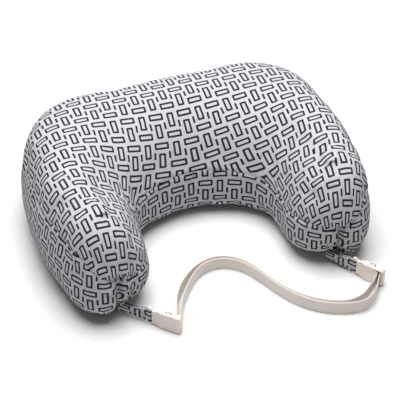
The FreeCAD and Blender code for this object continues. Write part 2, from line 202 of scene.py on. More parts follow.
class Shader:
    """A short way to write one material's nodes."""

    def __init__(self, name):
        self.material = bpy.data.materials.new(name)
        self.material.use_nodes = True
        self.tree = self.material.node_tree
        self.surface = self.tree.nodes["Principled BSDF"]

    def node(self, kind, inputs=(), **values):
        made = self.tree.nodes.new(kind)
        for key, value in values.items():
            setattr(made, key, value)
        for key, value in dict(inputs).items():
            self.plug(made.inputs[key], value)
        return made

    def plug(self, socket, value):
        if isinstance(value, bpy.types.NodeSocket):
            self.tree.links.new(value, socket)
        elif value is not None:
            socket.default_value = value

    def math(self, operation, a, b=None):
        made = self.node("ShaderNodeMath", operation=operation)
        for socket, value in zip(made.inputs, (a, b)):
            self.plug(socket, value)
        return made.outputs[0]

    def noise(self, vector, scale, detail=2.0, rough=0.5):
        inputs = {"Vector": vector, "Scale": scale, "Detail": detail, "Roughness": rough}
        return self.node("ShaderNodeTexNoise", inputs).outputs["Fac"]

    def ramp(self, value, low, high, to_low=0.0, to_high=1.0):
        inputs = {"Value": value, "From Min": low, "From Max": high, "To Min": to_low, "To Max": to_high}
        made = self.node("ShaderNodeMapRange", inputs, interpolation_type="SMOOTHSTEP")
        return made.outputs["Result"]

    def mix(self, factor, a, b):
        made = self.node("ShaderNodeMix", {"Factor": factor, "A": a, "B": b}, data_type="RGBA")
        return made.outputs["Result"]

    def place(self):
        return self.node("ShaderNodeTexCoord").outputs["Object"]

    def flat(self, layer):
        return self.node("ShaderNodeUVMap", uv_map=layer).outputs["UV"]

    def parts(self, vector):
        return self.node("ShaderNodeSeparateXYZ", {"Vector": vector}).outputs

    def wave(self, value, length, phase=None):
        """A sine wave of a coordinate, with its length in metres."""
        turn = self.math("MULTIPLY", value, 2 * math.pi / length)
        if phase is not None:
            turn = self.math("ADD", turn, phase)
        return self.math("SINE", turn)

    def bump(self, height, distance, strength):
        made = self.node("ShaderNodeBump", {"Strength": strength, "Distance": distance, "Height": height})
        self.plug(self.surface.inputs["Normal"], made.outputs["Normal"])

    def set(self, **values):
        for key, value in values.items():
            self.plug(self.surface.inputs[key.replace("_", " ")], value)
        return self.material

    def finish(self, tone, colours, bump, rough, **more):
        """Two colours mixed by a tone, a bump, and a roughness; each is given as its arguments."""
        self.bump(*bump)
        colour = self.mix(self.ramp(*tone), *colours)
        return self.set(Base_Color=colour, Roughness=self.ramp(*rough), **more)


GROUND = (0.485, 0.477, 0.502, 1)
GROUND_SLUB = tuple(c * 0.93 for c in GROUND[:3]) + (1,)
GROUND_CLOUD = (0.455, 0.452, 0.487, 1)
INK = (0.022, 0.020, 0.026, 1)
INK_FADED = (0.040, 0.037, 0.046, 1)
THREAD_PITCH = 0.0007

# the print, in metres: columns of upright and lying outlined bars, with short dashes between them
PRINT_COLUMN = 0.025
PRINT_PERIOD = 0.0495
PRINT_SHIFT = 0.017
BAR_LONG = 0.0250
BAR_SHORT = 0.0118
BAR_LINE = 0.0035
DASH_LONG = 0.012
DASH_WIDE = 0.0036
UPRIGHT_AT = -0.020  # y of an upright bar in the first column
PRINT_DRIFT = 0.0016
INK_BLEED = 0.0005
INK_EDGE = 0.0002


def printed_cotton():
    """Pale cotton with a dark print; the print is worked out from the cloth's own flat coordinates."""
    shader = Shader("printed_cotton")
    m = shader.math
    cloth = shader.flat("flat_cloth")
    u, v, _ = shader.parts(cloth)

    def shaken(value, scale, detail, size):
        offset = m("SUBTRACT", shader.noise(cloth, scale, detail), 0.5)
        return m("ADD", value, m("MULTIPLY", offset, size))

    def wrapped(value, period):
        turns = m("FLOOR", m("ADD", m("DIVIDE", value, period), 0.5))
        return m("SUBTRACT", value, m("MULTIPLY", turns, period))

    def box_distance(x, y, half_x, half_y):
        past_x = m("SUBTRACT", m("ABSOLUTE", x), half_x)
        past_y = m("SUBTRACT", m("ABSOLUTE", y), half_y)
        squares = [m("POWER", m("MAXIMUM", past, 0.0), 2.0) for past in (past_x, past_y)]
        inside = m("MINIMUM", m("MAXIMUM", past_x, past_y), 0.0)
        return m("ADD", m("SQRT", m("ADD", *squares)), inside)

    def outlined(x, y, long_x, long_y):
        edge = box_distance(x, y, (long_x - BAR_LINE) / 2, (long_y - BAR_LINE) / 2)
        return m("SUBTRACT", m("ABSOLUTE", edge), BAR_LINE / 2)

    column = m("FLOOR", m("DIVIDE", u, PRINT_COLUMN))
    in_column = m("SUBTRACT", u, m("MULTIPLY", m("ADD", column, 0.5), PRINT_COLUMN))
    odd = m("ABSOLUTE", m("MODULO", column, 2.0))
    along = m("SUBTRACT", shaken(v, 9.0, 1.0, PRINT_DRIFT), UPRIGHT_AT)
    shifted = m("SUBTRACT", along, m("MULTIPLY", odd, PRINT_SHIFT))
    upright = outlined(in_column, wrapped(shifted, PRINT_PERIOD), BAR_SHORT, BAR_LONG)
    half_turn = m("SUBTRACT", shifted, PRINT_PERIOD / 2)
    lying = outlined(in_column, wrapped(half_turn, PRINT_PERIOD), BAR_LONG, BAR_SHORT)
    between = wrapped(m("SUBTRACT", along, PRINT_SHIFT / 2), PRINT_PERIOD)
    dash = box_distance(wrapped(u, PRINT_COLUMN), between, DASH_WIDE / 2, DASH_LONG / 2)
    nearest = m("MINIMUM", m("MINIMUM", upright, lying), dash)
    inked = shader.ramp(shaken(nearest, 900.0, 2.0, INK_BLEED), INK_EDGE, -INK_EDGE)

    weave = m("MULTIPLY", shader.wave(u, THREAD_PITCH), shader.wave(v, THREAD_PITCH))
    slub = shader.noise(cloth, 260.0, 3.0, 0.6)
    cloud = shader.noise(shader.place(), 14.0, 2.0)
    ground = shader.mix(shader.ramp(slub, 0.3, 0.7), GROUND, GROUND_SLUB)
    ground = shader.mix(shader.ramp(cloud, 0.3, 0.75, 0.0, 0.5), ground, GROUND_CLOUD)
    faded = shader.mix(shader.ramp(slub, 0.35, 0.75, 0.0, 0.6), INK, INK_FADED)
    shader.bump(m("ADD", m("MULTIPLY", weave, 0.5), slub), 0.00018, 0.55)
    return shader.set(
        Base_Color=shader.mix(inked, ground, faded),
        Roughness=shader.ramp(slub, 0.2, 0.8, 0.74, 0.9),
        Specular_IOR_Level=0.08,
    )


# pairs of colours that each material is mixed from
# the webbing's darker cream is painted shade in the weave's low parts
WEBBING_CREAM_AND_SHADE = (0.60, 0.545, 0.49, 1), (0.80, 0.745, 0.69, 1)
WEBBING_CLOUD = (0.72, 0.66, 0.60, 1)
PLASTIC_CREAMS = (0.765, 0.69, 0.625, 1), (0.72, 0.645, 0.58, 1)
# the tape's darker grey is painted shade in the twill's low lines
TAPE_GREY_AND_SHADE = (0.40, 0.395, 0.42, 1), (0.50, 0.495, 0.52, 1)
# the coil's dark grey is painted shade between the coil's turns
COIL_GREY_AND_SHADE = (0.16, 0.158, 0.17, 1), (0.46, 0.455, 0.48, 1)
ZINC_GREYS = (0.56, 0.55, 0.53, 1), (0.44, 0.435, 0.43, 1)


def webbing(name, flat_layer=None):
    """Cream nylon webbing: ribs along its length, crossed by fine picks, with painted shade where the
    weave dips.
    """
    shader = Shader(name)
    m = shader.math
    if flat_layer:
        along, across, _ = shader.parts(shader.flat(flat_layer))
    else:
        x, y, across = shader.parts(shader.place())
        along = m("ADD", x, m("MULTIPLY", y, 1.2))
    rib = shader.wave(across, 0.0021)
    pick = shader.wave(along, 0.0011, m("MULTIPLY", rib, 1.3))
    fuzz = shader.noise(shader.place(), 700.0, 3.0)
    cloud = shader.noise(shader.place(), 30.0, 2.0)
    height = m("ADD", m("MULTIPLY", rib, 0.6), m("MULTIPLY", pick, 0.35))
    # painted shade: the cream darkens where the weave's height is low
    colour = shader.mix(shader.ramp(height, -0.8, 0.7), *WEBBING_CREAM_AND_SHADE)
    colour = shader.mix(shader.ramp(cloud, 0.35, 0.75, 0.0, 0.35), colour, WEBBING_CLOUD)
    shader.bump(m("ADD", height, m("MULTIPLY", fuzz, 0.5)), 0.00025, 0.6)
    return shader.set(
        Base_Color=colour,
        Roughness=shader.ramp(fuzz, 0.2, 0.8, 0.55, 0.75),
        Sheen_Weight=0.15,
        Sheen_Roughness=0.4,
    )


def buckle_plastic():
    """Cream moulded acetal, with a fine spark-eroded grain and faint handling marks."""
    shader = Shader("buckle_plastic")
    grain = shader.noise(shader.place(), 2600.0, 3.0, 0.6)
    cloud = shader.noise(shader.place(), 45.0, 3.0)
    rubbed = shader.noise(shader.place(), 160.0, 4.0, 0.7)
    height = shader.math("ADD", grain, shader.math("MULTIPLY", cloud, 1.5))
    return shader.finish(
        tone=(cloud, 0.3, 0.7),
        colours=PLASTIC_CREAMS,
        bump=(height, 0.00006, 0.5),
        rough=(rubbed, 0.3, 0.75, 0.36, 0.52),
        Specular_IOR_Level=0.5,
        Subsurface_Weight=0.12,
        Subsurface_Radius=(0.004, 0.003, 0.002),
        Subsurface_Scale=0.4,
    )


def zip_cloth():
    """Grey twill of the zip's tapes, with painted shade in the twill's low lines."""
    shader = Shader("zip_tape_cloth")
    x, _, z = shader.parts(shader.place())
    twill = shader.wave(shader.math("ADD", x, z), 0.0012)
    fuzz = shader.noise(shader.place(), 900.0, 3.0)
    height = shader.math("ADD", twill, fuzz)
    bump = (height, 0.00015, 0.6)
    # painted shade: the tape's grey darkens where the twill is low
    return shader.finish((twill, -0.8, 0.8), TAPE_GREY_AND_SHADE, bump, (fuzz, 0.2, 0.8, 0.7, 0.88))


def zip_coil_nylon():
    """The coils' nylon, with its turns and painted shade between them."""
    shader = Shader("zip_coil_nylon")
    m = shader.math
    x, _, z = shader.parts(shader.place())
    turns = shader.wave(m("ADD", x, m("MULTIPLY", z, 0.4)), 0.0013)
    cloud = shader.noise(shader.place(), 300.0, 2.0)
    bump = (turns, 0.0004, 0.9)
    # painted shade: the nylon darkens between the coil's turns
    return shader.finish((turns, -0.9, 0.3), COIL_GREY_AND_SHADE, bump, (cloud, 0.3, 0.7, 0.3, 0.45))


def zip_metal():
    """Rubbed zinc of the slider, the pull and the end stops."""
    shader = Shader("zip_metal")
    scratch = shader.noise(shader.place(), 420.0, 5.0, 0.75)
    cloud = shader.noise(shader.place(), 90.0, 3.0)
    rough = (scratch, 0.3, 0.7, 0.24, 0.42)
    return shader.finish((cloud, 0.3, 0.7), ZINC_GREYS, (scratch, 0.00005, 0.4), rough, Metallic=1.0)


# -------- pillow form

BACK_WALL_Y = 0.095
# corner points of the plan outline's right half, back to bay, with the rounding radius of each
HALF_OUTLINE = [
    (0.259, BACK_WALL_Y, 0.135),
    (0.285, -0.145, 0.500),
    (0.249, -0.347, 0.066),
    (0.122, -0.298, 0.074),
    (0.118, -0.144, 0.066),
]
BAY_MIDDLE = (0.0, -0.099, 0.150)
END_SEAM = (0.190, -0.3243)  # the right arm's end seam, in plan
RUNG_END = (0.197, -0.261)  # where the rungs of the top end, one shoulder in from there
LEFT_ELBOWS = ((-0.280, -0.145), (-0.118, -0.165))  # of the outer and the inner wall
CORNER_STEPS = 24
SOFTENING = 14.0  # in steps of 1 mm

WIDEST_Z = 0.056
TOP_Z = 0.1955
BASE_INSET = 0.048
SHOULDER_INSET = 0.060
OUTER_CREST, OUTER_POWER = 0.062, 2.45
INNER_CREST, INNER_POWER = 0.104, 1.9
END_CREST, END_POWER = 0.076, 2.2
END_BLEND = 0.10
# height of the top seam by distance from the end seam, on the outer and on the bay side
OUTER_SEAM_AT = (0.020, 0.035, 0.055, 0.078, 0.170, 0.300, 0.450)
OUTER_SEAM_Z = (0.100, 0.106, 0.124, 0.139, 0.141, 0.126, 0.114)
INNER_SEAM_AT = (0.020, 0.040, 0.060, 0.110, 0.200, 0.300)
INNER_SEAM_Z = (0.090, 0.092, 0.097, 0.092, 0.091, 0.099)
END_SEAM_Z = {-1: 0.098, 1: 0.088}  # where the two meet, on the left and on the right arm
BASE_SEAM_Z = 0.020
ARM_COLUMNS, BACK_COLUMNS = 44, 62  # of the right half
BASE_ROWS, BAND_ROWS, RIM_ROWS = 5, 15, 13
SEAM_ROW_GAP = 0.0032
COLUMN_SOFTENING = 12  # columns to each side
RUNGS_TOP, RUNGS_LOW = 14, 12
TOP_PANEL, OUTER_BAND, INNER_BAND, BASE_PANEL = range(4)
BANDS = (OUTER_BAND, INNER_BAND)
RIM_EASE = 0.95  # the top's rim is laid out a little shorter than it is
BAND_LAYOUT_SHIFT = (0.011, 0.003)
INNER_LAYOUT_SHIFT = 0.4  # keeps the two bands' prints apart
BASE_LAYOUT_SHIFT = (0.007, 0.9)
INNER_WAVE_SHIFT = 3.0  # keeps the two seams' puckers apart
FAR_FROM_SEAM = 0.2
TAGS = ("seam", "along", "end")
FLOOR_CLEARANCE = 0.0006
TOP_LEVEL_ROUNDS, RUNG_LEVEL_ROUNDS = 30, 40
LEVEL_START, LEVEL_FADE = 2, 5  # rows past the top seam
FLATTENING_ROUNDS = 900
CROWDED = ((0.192, -0.322), (0.200, -0.215))  # on the flat panel, where each arm's rungs crowd
CROWDED_REACH, CROWDED_FADE = 0.050, 0.018
FIT_RING = (0.036, 0.090)  # distances from there that the smooth fit is made from
SHOULDER_Z = 0.12
SWING_PIVOT, BAY_CORNER = (0.19, -0.09), (0.135, -0.190)
LEFT_ARM_SWING = (math.radians(-3.0), 0.0)  # whole arm, and twist at the bay
RIGHT_ARM_SWING = (math.radians(9.0), math.radians(7.0))
ARM_START_Y, ARM_START_FADE = -0.06, 0.17  # where the swing sets in
MIDDLE_FADE = 0.11
TWIST_REACH = 0.055


def sampled_outline():
    """Dense points of the closed plan outline, counter-clockwise seen from above, 1 mm apart."""
    right = HALF_OUTLINE + [BAY_MIDDLE]
    corners = right + [(-x, y, r) for x, y, r in reversed(HALF_OUTLINE)]
    line = []
    count = len(corners)
    for i, (x, y, radius) in enumerate(corners):
        point = np.array([x, y])
        before = unit(np.array(corners[i - 1][:2]) - point)
        after = unit(np.array(corners[(i + 1) % count][:2]) - point)
        half = math.acos(np.clip(before @ after, -1, 1)) / 2
        middle = point + unit(before + after) * radius / math.sin(half)
        start = point + before * radius / math.tan(half) - middle
        end = point + after * radius / math.tan(half) - middle
        turn = math.acos(np.clip(unit(start) @ unit(end), -1, 1))
        for t in np.linspace(0, 1, CORNER_STEPS):
            sides = math.sin((1 - t) * turn) * start + math.sin(t * turn) * end
            line.append(middle + sides / math.sin(turn))
    line = np.array(line + [line[0]])
    length = arc_lengths(line)[-1]
    line = resampled(line, np.linspace(0, length, int(length / MM)))[:-1]
    reach = 40
    weights = np.exp(-0.5 * (np.arange(-reach, reach + 1) / SOFTENING) ** 2)
    weights /= weights.sum()
    closed = np.concatenate([line[-reach:], line, line[:reach]])
    return np.stack([np.convolve(closed[:, k], weights, "valid") for k in range(2)], axis=1)


def nearest_to(point, line):
    return int(np.linalg.norm(line - np.array(point), axis=1).argmin())


def split_at_end_seams(line):
    """(outer, inner) halves of the outline, each from the left arm's end seam to the right arm's."""
    right = nearest_to(END_SEAM, line)
    left = nearest_to((-END_SEAM[0], END_SEAM[1]), line)
    one = np.roll(line, -left, axis=0)
    cut = (right - left) % len(line)
    halves = [one[: cut + 1], np.vstack([one[cut:], one[:1]])[::-1]]
    halves.sort(key=len, reverse=True)
    return halves


def column_places(outer, inner):
    """Distances along each curve of the rungs, so that a rung crosses each arm squarely."""
    half = ARM_COLUMNS + BACK_COLUMNS
    keys = [0, ARM_COLUMNS, 2 * half - ARM_COLUMNS, 2 * half]
    found = []
    for line, elbow in zip((outer, inner), LEFT_ELBOWS):
        along = arc_lengths(line)
        at = along[nearest_to(elbow, line)]
        long = along[-1]
        step = np.diff(np.interp(np.arange(2 * half + 1), keys, [0, at, long - at, long]))
        window = np.ones(2 * COLUMN_SOFTENING + 1) / (2 * COLUMN_SOFTENING + 1)
        soft = np.convolve(np.pad(step, COLUMN_SOFTENING, mode="edge"), window, "valid")
        found.append(np.concatenate([[0.0], np.cumsum(soft)]) * long / soft.sum())
    return found


def crest(inset, reach, power):
    """Height share, 0 to 1, of the domed top at a distance in from the outline."""
    left = 1 - np.clip(inset / reach, 0, 1)
    return (1 - left**power) ** (1 / power)


def side_profile(seam_z, reach, power):
    """(inset, z) rows of one wall, from the base up to the shoulder, and the row of each seam."""
    turn = np.linspace(0, math.pi / 2, 160)
    low = np.stack([BASE_INSET * (1 - np.sin(turn)), WIDEST_Z * (1 - np.cos(turn))], axis=1)
    inset = SHOULDER_INSET * np.linspace(0, 1, 400)[1:] ** 2.2  # closer together at the edge
    high = np.stack([inset, WIDEST_Z + (TOP_Z - WIDEST_Z) * crest(inset, reach, power)], axis=1)
    line = np.vstack([low, high])
    along = arc_lengths(line)
    at_base = np.interp(BASE_SEAM_Z, line[:, 1], along)
    at_seam = np.interp(seam_z, line[:, 1], along)
    near = SEAM_ROW_GAP
    stretches = [
        np.linspace(0, at_base - near, BASE_ROWS)[:-1],
        [at_base - near, at_base, at_base + near],
        np.linspace(at_base + near, at_seam - near, BAND_ROWS)[1:-1],
        [at_seam - near, at_seam, at_seam + near],
        np.linspace(at_seam + near, along[-1], RIM_ROWS)[1:],
    ]
    at = np.concatenate(stretches)
    base_row = len(stretches[0]) + 1
    seam_row = base_row + len(stretches[2]) + 3
    return resampled(line, at), at, base_row, seam_row


def seam_heights(places, at, heights):
    """Height of the top seam at each place along one wall, from the left end seam to the right one."""
    found = []
    for place in places:
        end = min(place, places[-1] - place)
        side = -1 if place < places[-1] / 2 else 1
        found.append(np.interp(end, (0.0, *at), (END_SEAM_Z[side], *heights)))
    return found


def crests_along(places, reach, power):
    """(reach, power) of the domed top at each place; both walls have the same ones at an end seam."""
    found = []
    for place in places:
        share = float(smooth_step(min(place, places[-1] - place) / END_BLEND))
        found.append((END_CREST + (reach - END_CREST) * share, END_POWER + (power - END_POWER) * share))
    return found


class PillowGrid:
    """Rows and columns of the cover: two walls that meet at the end seams, a top and a bottom."""

    def __init__(self):
        outer, inner = split_at_end_seams(sampled_outline())
        places_o, places_i = column_places(outer, inner)
        self.columns = len(places_o)
        self.walls = []
        for line, places, seam, reach, power in (
            (outer, places_o, (OUTER_SEAM_AT, OUTER_SEAM_Z), OUTER_CREST, OUTER_POWER),
            (inner, places_i, (INNER_SEAM_AT, INNER_SEAM_Z), INNER_CREST, INNER_POWER),
        ):
            foot = resampled(line, places)
            long = arc_lengths(line)[-1]
            near = [resampled(line, np.clip(places + step, 0, long)) for step in (0.004, -0.004)]
            out = turned_left(unit(near[0] - near[1]))
            heights = seam_heights(places, *seam)
            crests = crests_along(places, reach, power)
            profiles = [side_profile(z, *crest) for z, crest in zip(heights, crests)]
            rows, at, base_rows, seam_rows = zip(*profiles)
            wall = {"foot": foot, "out": out, "places": places, "crests": crests}
            wall |= {"rows": rows, "at": at, "base": base_rows[0], "seam": seam_rows[0]}
            self.walls.append(wall)
        # outward is away from the other wall at the middle of the back
        middle = self.columns // 2
        for wall, other in (self.walls, self.walls[::-1]):
            away = wall["foot"][middle] - other["foot"][middle]
            if wall["out"][middle] @ away < 0:
                wall["out"] = -wall["out"]
        # both walls share one direction at each end seam
        for end in (0, -1):
            shared = unit(self.walls[0]["out"][end] + self.walls[1]["out"][end])
            for wall in self.walls:
                wall["out"][end] = shared
        self.outline = [outer, inner]


class CoverMesh:
    """The cover's points with their tags, and its faces with their flat layouts and panels."""

    def __init__(self):
        self.points, self.tags = [], []
        self.faces, self.flats, self.panels = [], [], []

    def add(self, point, seam, along, end):
        """A point, with its distance past the top seam, along that seam, and from the end seam."""
        self.points.append(point)
        self.tags.append((seam, along, end))
        return len(self.points) - 1

    def quad(self, corners, flat, panel):
        """A face, without the corners that fall together."""
        loop, used = [], []
        for corner, at in zip(corners, flat):
            if corner not in loop:
                loop.append(corner)
                used.append(at)
        if len(loop) > 2:
            self.faces.append(loop[::-1])
            self.flats.append(used[::-1])
            self.panels.append(panel)


def base_layout(x, y):
    return x + BASE_LAYOUT_SHIFT[0], y + BASE_LAYOUT_SHIFT[1]


def wall_layout(wall, side, lowest, row, col):
    """Flat place of a wall's point, for a face whose lowest row is given."""
    at = wall["at"][col]
    foot, out = wall["foot"][col], wall["out"][col]
    if lowest >= wall["seam"]:
        x, y = foot + out * ((at[-1] - at[row]) * RIM_EASE - SHOULDER_INSET)
        return x, y
    if lowest >= wall["base"]:
        shift = BAND_LAYOUT_SHIFT[0] + INNER_LAYOUT_SHIFT * side
        return wall["places"][col] + shift, at[row] + BAND_LAYOUT_SHIFT[1]
    return base_layout(*(foot - out * (at[wall["base"]] - at[row] - 0.02)))


def add_wall(cover, grid, side, outer_table=None):
    """Adds one wall; at the two end seams the inner wall shares the outer wall's points."""
    wall = grid.walls[side]
    rows, columns = len(wall["rows"][0]), grid.columns
    long = wall["places"][-1]
    table = np.zeros((rows, columns), int)
    for r in range(rows):
        for c in range(columns):
            if side == 1 and c in (0, columns - 1):
                table[r, c] = outer_table[r, c]
                continue
            inset, z = wall["rows"][c][r]
            x, y = wall["foot"][c] - wall["out"][c] * inset
            place = wall["places"][c]
            seam = wall["at"][c][r] - wall["at"][c][wall["seam"]]
            phase = place + side * INNER_WAVE_SHIFT
            table[r, c] = cover.add((x, y, z), seam, phase, min(place, long - place))
    return table


def add_wall_faces(cover, wall, side, table):
    """Faces of one wall: base border, side band, and the rim of the top panel."""
    for r in range(table.shape[0] - 1):
        panel = TOP_PANEL
        if r < wall["seam"]:
            panel = BANDS[side] if r >= wall["base"] else BASE_PANEL
        for c in range(table.shape[1] - 1):
            corners = [(r, c), (r, c + 1), (r + 1, c + 1), (r + 1, c)]
            if side == 1:
                corners.reverse()
            flat = [wall_layout(wall, side, r, *corner) for corner in corners]
            cover.quad([table[corner] for corner in corners], flat, panel)


def dome_height(grid, near, share, column):
    """Height of the top panel, a share of the way from the outer wall to the inner one."""
    lift_o, lift_i = (crest(near, *wall["crests"][column]) for wall in grid.walls)
    blend = smooth_step(np.array(share))
    return WIDEST_Z + (TOP_Z - WIDEST_Z) * (lift_o * (1 - blend) + lift_i * blend)


def add_rungs(cover, grid, tables, top):
    """Fills the top or the bottom with rungs from the outer wall to the inner one."""
    count = RUNGS_TOP if top else RUNGS_LOW
    row = -1 if top else 0
    columns = grid.columns
    table = np.zeros((count + 1, columns), int)
    table[0] = tables[0][row]
    table[count] = tables[1][row]
    start = np.array(cover.points)[table[0]]
    end = np.array(cover.points)[table[count]]
    outline = np.vstack(grid.outline)
    places = grid.walls[0]["places"]
    for k in range(1, count):
        share = k / count
        for c in range(columns):
            if c in (0, columns - 1):
                table[k, c] = table[0, c]
                continue
            spot = start[c] * (1 - share) + end[c] * share
            near = np.linalg.norm(outline - spot[:2], axis=1).min()
            spot[2] = dome_height(grid, near, share, c) if top else FLOOR_CLEARANCE
            from_end = min(places[c], places[-1] - places[c]) + SHOULDER_INSET
            table[k, c] = cover.add(tuple(spot), FAR_FROM_SEAM, places[c], from_end)
    for k in range(count):
        for c in range(columns - 1):
            corners = [table[k, c], table[k, c + 1], table[k + 1, c + 1], table[k + 1, c]]
            if top:
                cover.quad(corners, [cover.points[i][:2] for i in corners], TOP_PANEL)
            else:
                corners.reverse()
                cover.quad(corners, [base_layout(*cover.points[i][:2]) for i in corners], BASE_PANEL)


def pairs_in(faces, diagonals=False):
    """Every pair of points that share an edge, or that share a face where diagonals count too."""
    pairs = set()
    for face in faces:
        ends = itertools.combinations(face, 2) if diagonals else zip(face, face[1:] + face[:1])
        pairs.update((min(a, b), max(a, b)) for a, b in ends)
    return np.array(sorted(pairs))


def flattened(points, faces, start):
    """Lays a curved panel out flat: its edges and diagonals keep their lengths as nearly as they can."""
    pairs = pairs_in(faces, diagonals=True)
    a, b = pairs[:, 0], pairs[:, 1]
    rest = np.linalg.norm(points[a] - points[b], axis=1)
    flat = start.copy()
    share = np.maximum(np.bincount(pairs.ravel(), minlength=len(points)), 1.0)[:, None]

    def gathered(at_a, at_b):
        size = len(flat)
        columns = [np.bincount(a, at_a[:, k], size) + np.bincount(b, at_b[:, k], size) for k in range(2)]
        return np.stack(columns, axis=1) / share

    for number in range(FLATTENING_ROUNDS):
        gap = flat[a] - flat[b]
        long = np.maximum(np.linalg.norm(gap, axis=1), 1e-9)
        push = gap * ((rest - long) / long * 0.5)[:, None]
        flat += gathered(push, -push)
        if number % 4 == 3:
            moved = flat - start
            flat = start + 0.5 * moved + 0.5 * gathered(moved[b], moved[a])
    return swung(evened(flat, start, points), start)


def evened(flat, start, points):
    """Where the rungs crowd together on each arm, takes the layout from a smooth fit round it."""
    for side in (-1, 1):
        tip, elbow = (np.array([side * x, y]) for x, y in CROWDED)
        run = elbow - tip
        share = np.clip((start - tip) @ run / (run @ run), 0, 1)
        far = np.linalg.norm(start - tip - share[:, None] * run, axis=1)
        ring = (far > FIT_RING[0]) & (far < FIT_RING[1]) & (points[:, 2] > SHOULDER_Z)

        def terms(at):
            x, y = ((at - tip) / 0.1).T
            return np.stack([x**i * y**j for i in range(4) for j in range(4 - i)], axis=1)

        fit = np.linalg.lstsq(terms(start[ring]), (flat - start)[ring], rcond=None)[0]
        weight = smooth_step((CROWDED_REACH - far) / CROWDED_FADE)[:, None]
        inner = far < CROWDED_REACH
        smooth = start[inner] + terms(start[inner]) @ fit
        flat[inner] += weight[inner] * (smooth - flat[inner])
    return flat


def swung(flat, start):
    """Turns each arm of the flat panel about its elbow, and twists it at the bay, as it was cut."""
    for side, swing, twist in ((-1, *LEFT_ARM_SWING), (1, *RIGHT_ARM_SWING)):
        arm = smooth_step((ARM_START_Y - start[:, 1]) / ARM_START_FADE)
        arm = arm * smooth_step(side * start[:, 0] / MIDDLE_FADE)
        elbow, corner = (np.array([side * x, y]) for x, y in (SWING_PIVOT, BAY_CORNER))
        near = bell(np.linalg.norm(start - corner, axis=1), TWIST_REACH)
        for pivot, turn in ((elbow, swing * arm), (corner, twist * near)):
            away = flat - pivot
            flat = pivot + away * np.cos(turn)[:, None] + turned_left(away) * np.sin(turn)[:, None]
    return flat


SIM_FRAMES = 20
SIM_CAP = 0.004
CLOTH = {
    "quality": 5,
    "mass": 0.3,
    "tension_stiffness": 18,
    "compression_stiffness": 18,
    "shear_stiffness": 6,
    "bending_stiffness": 0.4,
    "vertex_group_mass": "held",
    "pin_stiffness": 1.0,
    "vertex_group_shrink": "short",
    "shrink_min": -0.012,
    "shrink_max": 0.006,
    "use_pressure": True,
    "uniform_pressure_force": 0.8,
}


def inflate(piece, held, short):
    """Lets the cover swell against its seams as cloth, and keeps the result within SIM_CAP."""
    before = coordinates(piece.data)
    for name, weights in (("held", held), ("short", short)):
        group = piece.vertex_groups.new(name=name)
        for i in np.flatnonzero(weights > 0):
            group.add([int(i)], float(weights[i]), "REPLACE")
    cloth = piece.modifiers.new("cloth", "CLOTH")
    for name, value in CLOTH.items():
        setattr(cloth.settings, name, value)
    cloth.settings.effector_weights.gravity = 0.0
    cloth.point_cache.frame_start = 1
    cloth.point_cache.frame_end = SIM_FRAMES
    for number in range(1, SIM_FRAMES + 1):
        bpy.context.scene.frame_set(number)
    shown = piece.evaluated_get(bpy.context.evaluated_depsgraph_get())
    move = coordinates(shown.data) - before
    piece.modifiers.remove(cloth)
    bpy.context.scene.frame_set(1)
    far = np.linalg.norm(move, axis=1, keepdims=True)
    move *= np.minimum(1.0, SIM_CAP / np.maximum(far, 1e-9))
    set_coordinates(piece.data, before + move)


def subdivided(piece):
    """Applies a subdivision surface, so that the finer points can be moved."""
    modifier = piece.modifiers.new("smooth", "SUBSURF")
    modifier.levels = 1
    modifier.uv_smooth = "NONE"
    shown = piece.evaluated_get(bpy.context.evaluated_depsgraph_get())
    mesh = bpy.data.meshes.new_from_object(shown)
    piece.modifiers.remove(modifier)
    old = piece.data
    piece.data = mesh
    bpy.data.meshes.remove(old)
    mesh.name = piece.name


def levelled(heights, edges, weight, rounds):
    """Evens out heights along the edges, by the points' weights."""
    a, b = edges.T
    size = len(heights)
    count = np.maximum(np.bincount(edges.ravel(), minlength=size), 1)
    heights = heights.copy()
    for _ in range(rounds):
        total = np.bincount(a, heights[b], size) + np.bincount(b, heights[a], size)
        heights += weight * (total / count - heights)
    return heights


def near_rung_ends(co, reach):
    """1 where the rungs of the top end on each arm, fading out over the reach."""
    found = np.zeros(len(co))
    for side in (-1, 1):
        far = np.linalg.norm(co[:, :2] - np.array([side * RUNG_END[0], RUNG_END[1]]), axis=1)
        found = np.maximum(found, np.exp(-((far / reach) ** 4)))
    return found * (co[:, 2] > SHOULDER_Z)


def read_tag(mesh, name):
    values = read_all(mesh.attributes[name].data, "value", 1)[:, 0].astype(float)
    mesh.attributes.remove(mesh.attributes[name])
    return values


RIPPLE_LENGTHS = (0.041, 0.027, 0.0193, 0.0148, 0.066)
RIPPLE_PEAK = 2.6


def ripple(x, seed):
    """A smooth, uneven wave of x (in metres) between about -1 and 1."""
    shift = np.random.default_rng(seed).uniform(0, 2 * math.pi, len(RIPPLE_LENGTHS))
    total = sum(np.sin(2 * math.pi * x / long + s) for long, s in zip(RIPPLE_LENGTHS, shift))
    return total / RIPPLE_PEAK


ZIP_Z = float(sum(p.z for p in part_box("zip_slider")) / 2)
SLOT_HALF_HEIGHT = 0.006
SLOT_HALF_LENGTH = 0.136
SLOT_DEPTH = 0.0042
ZIP_FLAT_PAST, ZIP_FLAT_HALF_HEIGHT = 0.012, 0.022


def near_zip(co, margin):
    """1 on the flat of the back wall round the zip, fading to 0 over the margin."""
    x = smooth_step((SLOT_HALF_LENGTH + ZIP_FLAT_PAST + margin - np.abs(co[:, 0])) / margin)
    z = smooth_step((ZIP_FLAT_HALF_HEIGHT + margin - np.abs(co[:, 2] - ZIP_Z)) / margin)
    return x * z * (co[:, 1] > 0.07)


# depth or height, and reach, of the folds beside the top seam
GROOVE_DEPTH, GROOVE_REACH = 0.0013, 0.0022
LIP_HEIGHT, LIP_AT, LIP_REACH = 0.0004, 0.0052, 0.003
PUCKER_HEIGHT, PUCKER_START, PUCKER_REACH = 0.00095, 0.004, 0.016
SWELL_HEIGHT, SWELL_REACH = 0.0012, 0.055
